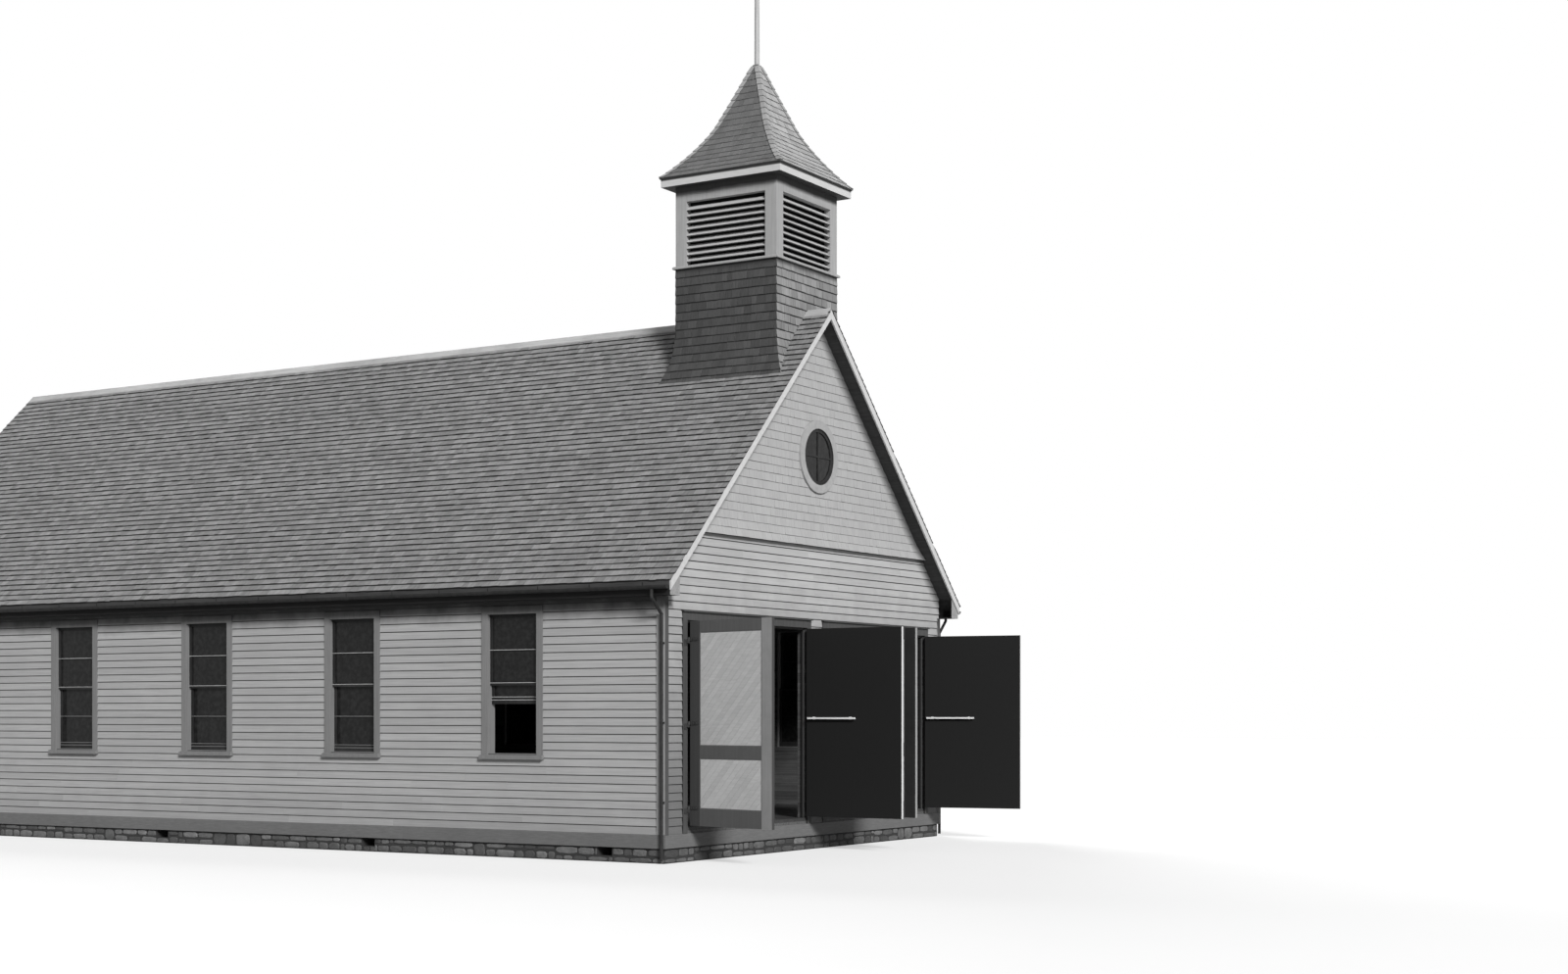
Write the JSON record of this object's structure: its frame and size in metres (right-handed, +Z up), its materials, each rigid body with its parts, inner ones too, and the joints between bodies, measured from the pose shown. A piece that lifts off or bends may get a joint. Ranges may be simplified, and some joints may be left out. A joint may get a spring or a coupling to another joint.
{
  "type": "timber fire station building",
  "caption": "Single-storey timber fire station with a steep shingled roof, louvred cupola and wide doorways closed by side-hung panelled leaves.",
  "frame": {"origin": "on the lowest ground, under the middle of the front foundation wall", "axes": "+Z up, +Y from the front gable to the rear along the ridge, +X to the right as seen from in front of the doors"},
  "size_m": [8.93, 19.5255, 15.635],
  "materials": {
    "rubble_stone": "rough",
    "rough_timber": "rough",
    "floor_planks": "worn",
    "trim_paint": "satin paint",
    "siding_paint": "matte paint",
    "gable_shingles": "matte paint",
    "roof_shingles": "weathered",
    "cupola_shingles": "matte paint",
    "rake_paint": "satin paint",
    "soffit_paint": "matte paint",
    "gutter_metal": "satin",
    "sash_paint": "satin paint",
    "window_glass": "clear",
    "hinge_iron": "painted",
    "louvre_paint": "matte paint",
    "pole_paint": "satin paint",
    "door_paint": "satin paint",
    "door_boards": "satin paint",
    "bar_paint": "satin paint"
  },
  "bodies": {
    "root": {"base_boards": "trim_paint", "belfry_frame": "trim_paint", "belfry_louvres": "louvre_paint", "belfry_sill": "trim_paint", "corner_boards": "trim_paint", "cupola_base": "cupola_shingles", "cupola_cornice": "louvre_paint", "cupola_roof": "roof_shingles", "door_casings": "trim_paint", "door_pintles": "hinge_iron", "door_stops": "trim_paint", "downspouts": "gutter_metal", "eave_boxes": "trim_paint", "end_wall_heads": "siding_paint", "end_wall_piers": "siding_paint", "flagpole": "pole_paint", "floor": "floor_planks", "floor_frame": "rough_timber", "foundation_ends": "rubble_stone", "foundation_sides": "rubble_stone", "gable_shingling": "gable_shingles", "gable_walls": "siding_paint", "gutters": "gutter_metal", "rake_boards": "rake_paint", "rake_soffits": "soffit_paint", "rear_wall_base": "siding_paint", "ridge_cap": "roof_shingles", "roof_left": "roof_shingles", "roof_right": "roof_shingles", "round_window_casing": "trim_paint", "side_wall_bases": "siding_paint", "side_wall_heads": "siding_paint", "side_wall_piers": "siding_paint", "window_frames": "trim_paint", "window_glass": "window_glass", "window_sashes": "sash_paint"},
    "door_1_left": {"door_1_left_frame": "door_paint", "door_1_left_panels": "door_boards", "door_1_left_straps": "hinge_iron"},
    "door_1_right": {"door_1_right_bar": "bar_paint", "door_1_right_frame": "door_paint", "door_1_right_panels": "door_boards", "door_1_right_straps": "hinge_iron"},
    "door_2_left": {"door_2_left_frame": "door_paint", "door_2_left_panels": "door_boards", "door_2_left_straps": "hinge_iron"},
    "door_2_right": {"door_2_right_bar": "bar_paint", "door_2_right_frame": "door_paint", "door_2_right_panels": "door_boards", "door_2_right_straps": "hinge_iron"}
  },
  "joints": [
    {"name": "door_1_left_hinge", "type": "hinge", "parent": "root", "child": "door_1_left", "pos_m": [-3.5804, -0.21, 0], "axis": [0, 0, -1], "range_deg": [-104, 61]},
    {"name": "door_1_right_hinge", "type": "hinge", "parent": "root", "child": "door_1_right", "pos_m": [-0.2904, -0.21, 0], "axis": [0, 0, 1], "range_deg": [-90.5, 4.5]},
    {"name": "door_2_left_hinge", "type": "hinge", "parent": "root", "child": "door_2_left", "pos_m": [0.2904, -0.21, 0], "axis": [0, 0, -1], "range_deg": [-97, 3]},
    {"name": "door_2_right_hinge", "type": "hinge", "parent": "root", "child": "door_2_right", "pos_m": [3.5804, -0.21, 0], "axis": [0, 0, 1], "range_deg": [-100, 65]}
  ]
}
